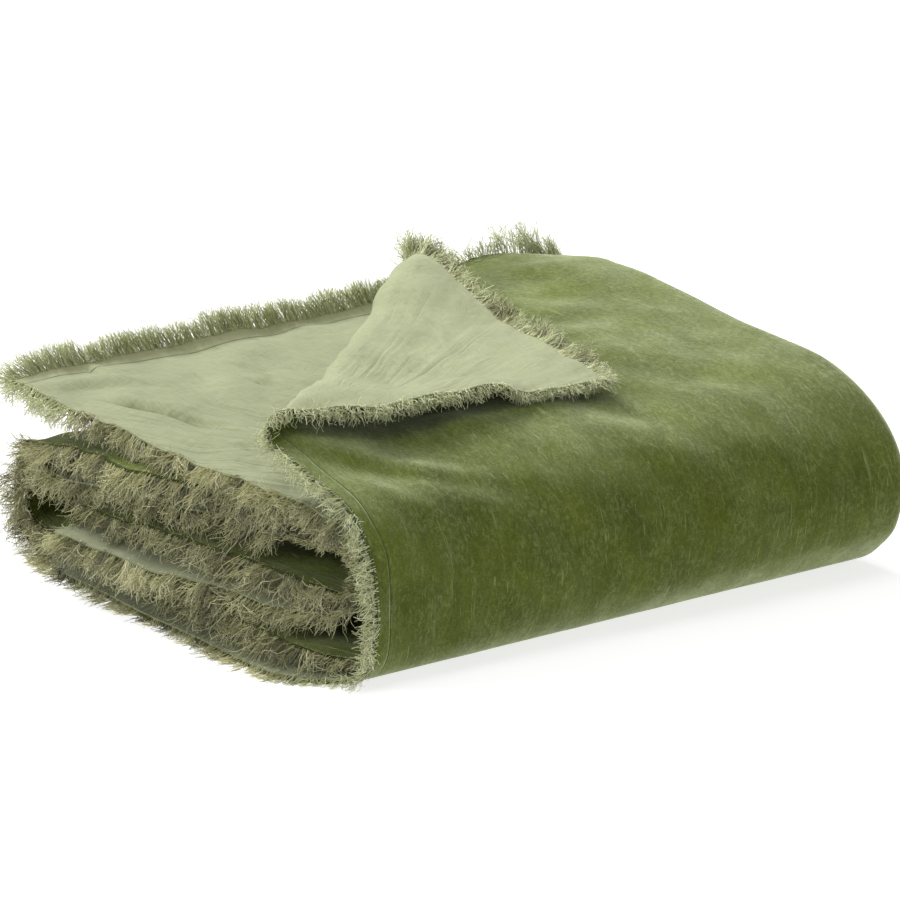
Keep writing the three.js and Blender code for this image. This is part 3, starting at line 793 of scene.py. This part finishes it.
# Cotton velvet, cut pile, crushed in storage: pile bent flat shows pale, pile standing up shows deep moss.
# Pile gives a wide soft sheen at a grazing view and no gloss.
velvet = {
    "deep": "#3f480e", "moss": "#556018", "pale": "#858f58", "stitch": "#39461a", "rough": 0.9, "shine": 0.06,
    "sheen": 1.0, "sheenRound": 0.45, "sheenTint": "#e2ebc4",
    # patterns: size across and along in metres, detail, roughness, distortion
    "clouds": ((0.060, 0.060), 4.0, 0.6, 0.4),
    "streaks": ((0.006, 0.040), 4.0, 0.6, 0.3),
    "scuffs": ((0.0028, 0.0050), 5.0, 0.7, 0.8),
    "patches": ((0.024, 0.0384), 3.0, 0.6, 0.5),
    "scratches": ((0.0036, 0.034), 2.0, 0.5, 1.6),
    "pile": ((0.00208, 0.0013), 3.0, 0.7),
    # moss shows where clouds and streaks are high, and pale marks where scuffs in patches or scratches are
    "cloudShare": 0.6, "mossStops": [(0.36, 0.0), (0.62, 1.0)], "patchStops": [(0.36, 0.35), (0.62, 1.0)],
    "scuffStops": [(0.46, 0.0), (0.74, 1.0)], "scratchStops": [(0.63, 0.0), (0.72, 1.0)], "markShare": 0.62,
    "grainFrom": (0.3, 0.7), "grain": (0.72, 1.28),
    # two rows of stitching hold the hem, and the pile stops at the cut edge, which is darkened as painted
    # shade
    "stitchRows": (0.0016, 0.0140), "stitchEdge": (0.0002, 0.0011), "stitchShare": 0.7,
    "edgeShadeFrom": (0.0004, 0.0020), "edgeShade": (0.4, 1.0),
    # inside the folds the sheen is turned down as painted shade, and scuffs make it uneven
    "sheenShadeFrom": (0.58, 0.66), "sheenInShade": 0.3, "patchShare": 0.45, "crushFrom": (0.38, 0.62),
    "crushed": (0.70, 1.28),
    "pileHeight": 0.35, "scuffHeight": 0.5, "stitchDepth": 1.2, "bump": 0.6, "bumpHeight": 0.0009,
}


def velvetMaterial(settings):
    material, tree = newMaterial("cottonVelvetCrushedPile")
    uv, w, s = flatMap(tree)
    fromSides = math2(tree, "MINIMUM", w, math2(tree, "SUBTRACT", sheetSize[0], w))
    fromEnds = math2(tree, "MINIMUM", s, math2(tree, "SUBTRACT", sheetSize[1], s))
    hem = math2(tree, "MINIMUM", fromSides, fromEnds)
    names = ("clouds", "streaks", "scuffs", "patches", "scratches", "pile")
    clouds, streaks, scuffs, patches, scratches, pile = (noise(tree, uv, *settings[name]) for name in names)

    def mixed(a, b, share):
        return math2(tree, "ADD", math2(tree, "MULTIPLY", a, share), math2(tree, "MULTIPLY", b, 1 - share))

    lying = ramp(tree, mixed(clouds, streaks, settings["cloudShare"]), settings["mossStops"])
    tone = blend(tree, lying, settings["deep"], settings["moss"])
    scuffed = math2(tree, "MULTIPLY", ramp(tree, scuffs, settings["scuffStops"]),
                    ramp(tree, patches, settings["patchStops"]))
    marks = math2(tree, "MAXIMUM", scuffed, ramp(tree, scratches, settings["scratchStops"]))
    tone = blend(tree, math2(tree, "MULTIPLY", marks, settings["markShare"]), tone, settings["pale"])
    tone = shade(tree, tone, mapRange(tree, pile, settings["grainFrom"], settings["grain"]))
    rows = [stitchLine(tree, hem, place, settings["stitchEdge"]) for place in settings["stitchRows"]]
    stitches = math2(tree, "MAXIMUM", *rows)
    tone = blend(tree, math2(tree, "MULTIPLY", stitches, settings["stitchShare"]), tone, settings["stitch"])
    # painted shade: the tone darkens toward the cut edge
    tone = shade(tree, tone, mapRange(tree, hem, settings["edgeShadeFrom"], settings["edgeShade"]))

    # painted shade: less sheen on the cloth inside the folds
    shadedSheen = mapRange(tree, s, settings["sheenShadeFrom"], (settings["sheen"], settings["sheenInShade"]))
    crushed = mapRange(tree, mixed(patches, scuffs, settings["patchShare"]), settings["crushFrom"],
                       settings["crushed"])
    height = math2(tree, "ADD", math2(tree, "MULTIPLY", pile, settings["pileHeight"]),
                   math2(tree, "MULTIPLY", scuffs, settings["scuffHeight"]))
    height = math2(tree, "SUBTRACT", height, math2(tree, "MULTIPLY", stitches, settings["stitchDepth"]))
    bump = addNode(tree, "ShaderNodeBump", {"Strength": settings["bump"], "Distance": settings["bumpHeight"]},
                   {"Height": height})
    sheen = math2(tree, "MULTIPLY", shadedSheen, crushed)
    addShader(tree, {
        "Roughness": settings["rough"], "Sheen Roughness": settings["sheenRound"],
        "Sheen Tint": colour(settings["sheenTint"]), "Specular IOR Level": settings["shine"],
    }, {"Base Color": tone, "Sheen Weight": sheen, "Normal": bump.outputs[0]})
    return material


# Plain-woven cotton, washed: matt, with slubs in both directions and a hem band turned under at the free end.
# Real threads are 0.5 mm apart, drawn 1.2 mm apart so that the weave shows.
cotton = {
    # the hem band is a little tan, and is painted lighter as well, as painted light against the shade on the
    # standing hem
    "thread": "#969b79", "slub": "#888d6a", "hemBandTanAndLight": "#a2a57c", "seam": "#575c3f",
    "rough": 0.92, "shine": 0.2, "sheen": 0.15, "sheenRound": 0.5,
    "weave": 0.0012, "slubSize": (1 / 900, 1 / 60), "slubDetail": 2.0, "slubFrom": (0.35, 0.6),
    # patterns: size across and along in metres, detail, roughness, distortion
    "rumples": ((1 / 38, 1 / 38), 4.0, 0.55, 0.6),
    "mottles": ((1 / 14, 1 / 14), 4.0, 0.6),
    "hemWidth": 0.0145, "bandEdge": 0.0006, "bandShare": 0.6, "seamEdge": (0.0003, 0.0014), "seamShare": 0.8,
    # painted light and shade: the turned-back half is lighter and the rest darker; all of it is mottled; and
    # painted shade darkens it inside the folds
    "fadedFrom": (0.45, 0.55), "faded": (1.10, 0.93), "mottledFrom": (0.3, 0.7), "mottled": (0.90, 1.10),
    "foldShadeFrom": (0.50, 0.62), "foldShade": (1.0, 0.68),
    # fine creases that run out from the turned-back corner
    "pulls": [
        {"from": (0.720, 0.850), "lines": 46.0, "breaks": 5.0, "reach": 0.95, "height": 60.0},
        {"from": (-0.080, 0.400), "lines": 16.0, "breaks": 4.0, "reach": 0.60, "height": 16.0},
    ],
    "pullDetail": (2.5, 0.6, 0.5), "pullFull": 0.12, "pullStill": (0.16, 0.26),
    "weaveHeight": 0.12, "slubHeight": 0.8, "rumpleHeight": 4.0, "bump": 0.6, "bumpHeight": 0.0010,
}


def pullLines(tree, uv, pull, settings):
    away = addNode(tree, "ShaderNodeVectorMath", {"operation": "SUBTRACT", 1: (*pull["from"], 0)}, {0: uv})
    split = addNode(tree, "ShaderNodeSeparateXYZ", links={0: away.outputs[0]})
    turn = math2(tree, "ARCTAN2", split.outputs["Y"], split.outputs["X"])
    far = addNode(tree, "ShaderNodeVectorMath", {"operation": "LENGTH"}, {0: away.outputs[0]})
    length = far.outputs["Value"]
    lineAt = math2(tree, "MULTIPLY", turn, pull["lines"])
    breakAt = math2(tree, "MULTIPLY", length, pull["breaks"])
    place = addNode(tree, "ShaderNodeCombineXYZ", links={"X": lineAt, "Y": breakAt})
    lines = noise(tree, place.outputs[0], (1.0, 1.0), *settings["pullDetail"])
    ridges = math2(tree, "ABSOLUTE", math2(tree, "SUBTRACT", lines, 0.5))
    fade = mapRange(tree, length, (pull["reach"], settings["pullFull"]))
    faded = math2(tree, "MULTIPLY", fade, mapRange(tree, length, settings["pullStill"]))
    return math2(tree, "MULTIPLY", math2(tree, "MULTIPLY", ridges, faded), pull["height"])


def cottonMaterial(settings):
    material, tree = newMaterial("cottonPlainWeaveWashed")
    uv, w, s = flatMap(tree)
    # the band shows at the free end of the light half alone, so the other half is put far from it
    hem = math2(tree, "ADD", s, math2(tree, "LESS_THAN", w, cloth["outerWidth"] / 1000))
    turns = 2 * math.pi / settings["weave"]
    waves = [math2(tree, "SINE", math2(tree, "MULTIPLY", part, turns)) for part in (w, s)]
    weave = math2(tree, "MULTIPLY", *waves)
    slubSizes = (settings["slubSize"], settings["slubSize"][::-1])
    slubs = [noise(tree, uv, size, settings["slubDetail"]) for size in slubSizes]
    slub = math2(tree, "MULTIPLY", math2(tree, "ADD", *slubs), 0.5)
    tone = blend(tree, mapRange(tree, slub, settings["slubFrom"]), settings["slub"], settings["thread"])
    bandEnds = (settings["hemWidth"] - settings["bandEdge"], settings["hemWidth"] + settings["bandEdge"])
    band = math2(tree, "MULTIPLY", mapRange(tree, hem, bandEnds, (1.0, 0.0)), settings["bandShare"])
    # hem band: its own tan tone, and painted light
    tone = blend(tree, band, tone, settings["hemBandTanAndLight"])
    seam = stitchLine(tree, hem, settings["hemWidth"], settings["seamEdge"])
    tone = blend(tree, math2(tree, "MULTIPLY", seam, settings["seamShare"]), tone, settings["seam"])
    # painted light on the turned-back half, painted shade on the rest
    faded = mapRange(tree, w, settings["fadedFrom"], settings["faded"])
    mottles = noise(tree, uv, *settings["mottles"])
    mottled = mapRange(tree, mottles, settings["mottledFrom"], settings["mottled"])
    # painted shade: darker inside the folds
    foldShade = mapRange(tree, s, settings["foldShadeFrom"], settings["foldShade"])
    tone = shade(tree, tone, math2(tree, "MULTIPLY", math2(tree, "MULTIPLY", faded, mottled), foldShade))

    pulled = [pullLines(tree, uv, pull, settings) for pull in settings["pulls"]]
    rumples = noise(tree, uv, *settings["rumples"])
    height = math2(tree, "ADD", math2(tree, "MULTIPLY", weave, settings["weaveHeight"]),
                   math2(tree, "MULTIPLY", slub, settings["slubHeight"]))
    height = math2(tree, "ADD", height, math2(tree, "MULTIPLY", rumples, settings["rumpleHeight"]))
    height = math2(tree, "ADD", height, math2(tree, "ADD", *pulled))
    height = math2(tree, "SUBTRACT", height, seam)
    bump = addNode(tree, "ShaderNodeBump", {"Strength": settings["bump"], "Distance": settings["bumpHeight"]},
                   {"Height": height})
    addShader(tree, {
        "Roughness": settings["rough"], "Sheen Weight": settings["sheen"],
        "Sheen Roughness": settings["sheenRound"], "Specular IOR Level": settings["shine"],
    }, {"Base Color": tone, "Normal": bump.outputs[0]})
    return material


velvetFace.data.materials.append(velvetMaterial(velvet))
cottonBack.data.materials.append(cottonMaterial(cotton))
print("materials made")

studio = {
    "world": 0.34, "floorTone": "#a2a2a0", "floorRough": 0.9, "floorGlow": 0.76, "floorSize": 24.0,
    "aim": (0, 0, 0.08),
    "lights": [
        # name, place, size, watts
        ("backSoftbox", (0.2, 3.2, 3.4), 1.2, 215.0),
        ("overheadSoftbox", (0.2, -0.4, 4.0), 2.4, 60.0),
        ("leftFill", (-3.0, 1.0, 1.5), 1.0, 50.0),
    ],
}


def makeStudio(settings):
    bm = bmesh.new()
    bmesh.ops.create_grid(bm, x_segments=1, y_segments=1, size=settings["floorSize"] / 2)
    mesh = bpy.data.meshes.new("paleFloor")
    bm.to_mesh(mesh)
    bm.free()
    floor = bpy.data.objects.new("paleFloor", mesh)
    bpy.context.collection.objects.link(floor)
    material, tree = newMaterial("paintedBoardMatt")
    addShader(tree, {
        "Base Color": colour(settings["floorTone"]), "Roughness": settings["floorRough"],
        "Emission Color": (1, 1, 1, 1), "Emission Strength": settings["floorGlow"],
    })
    mesh.materials.append(material)
    world = bpy.data.worlds.new("softStudio")
    world.use_nodes = True
    background = world.node_tree.nodes["Background"]
    background.inputs["Color"].default_value = (1, 1, 1, 1)
    background.inputs["Strength"].default_value = settings["world"]
    bpy.context.scene.world = world
    for name, place, size, watts in settings["lights"]:
        data = bpy.data.lights.new(name, "AREA")
        data.energy = watts
        data.size = size
        light = bpy.data.objects.new(name, data)
        light.location = place
        way = Vector(settings["aim"]) - Vector(place)
        light.rotation_euler = way.to_track_quat("-Z", "Y").to_euler()
        bpy.context.collection.objects.link(light)


makeStudio(studio)
bpy.context.scene.view_settings.view_transform = "Standard"
print("studio lit")
